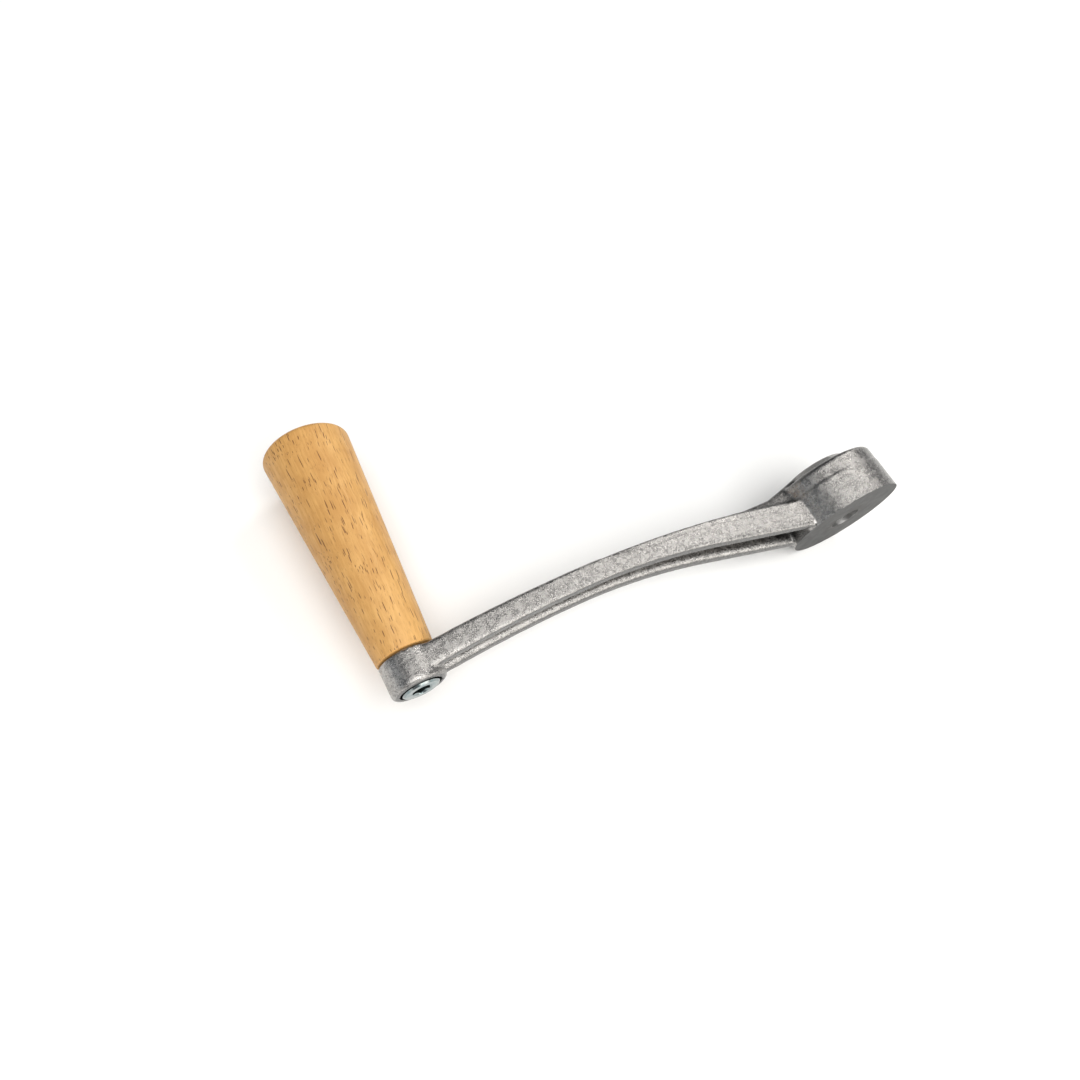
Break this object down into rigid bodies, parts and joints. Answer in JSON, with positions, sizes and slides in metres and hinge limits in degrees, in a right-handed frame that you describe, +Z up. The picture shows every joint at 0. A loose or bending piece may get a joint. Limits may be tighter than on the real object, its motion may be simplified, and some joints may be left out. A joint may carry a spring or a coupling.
{
  "type": "hand crank",
  "caption": "Cast hand crank with an arched, channelled arm, a bored hub at one end and a tapered wooden grip that spins on a socket screw at the other.",
  "frame": {"origin": "centre of the bore on the hub's machined face", "axes": "+X from the bore to the grip's axis, +Y out of the bore's machined face, away from the grip, +Z up, square to both"},
  "size_m": [0.2162, 0.1062, 0.045],
  "materials": {
    "cast_aluminium": "as-cast, finely pebbled, with a machined hub face and bore",
    "zinc_screw": "bright zinc plate",
    "plated_washer": "stamped, zinc plated",
    "steel_tube": "drawn tube, turned ends",
    "beech": "turned and sanded beech, lightly oiled",
    "zinc_nut": "bright zinc plate",
    "nylon": "moulded nylon"
  },
  "bodies": {
    "crank": {"crank_arm": "cast_aluminium", "grip_screw": "zinc_screw", "thrust_washer": "plated_washer", "bearing_tube": "steel_tube", "end_washer": "plated_washer", "lock_nut": "zinc_nut", "nut_ring": "nylon"},
    "grip": {"grip": "beech"}
  },
  "joints": [
    {"name": "grip_spin", "type": "hinge", "parent": "crank", "child": "grip", "pos_m": [0.178, -0.02115, 0], "axis": [0, -1, 0], "continuous": true}
  ]
}
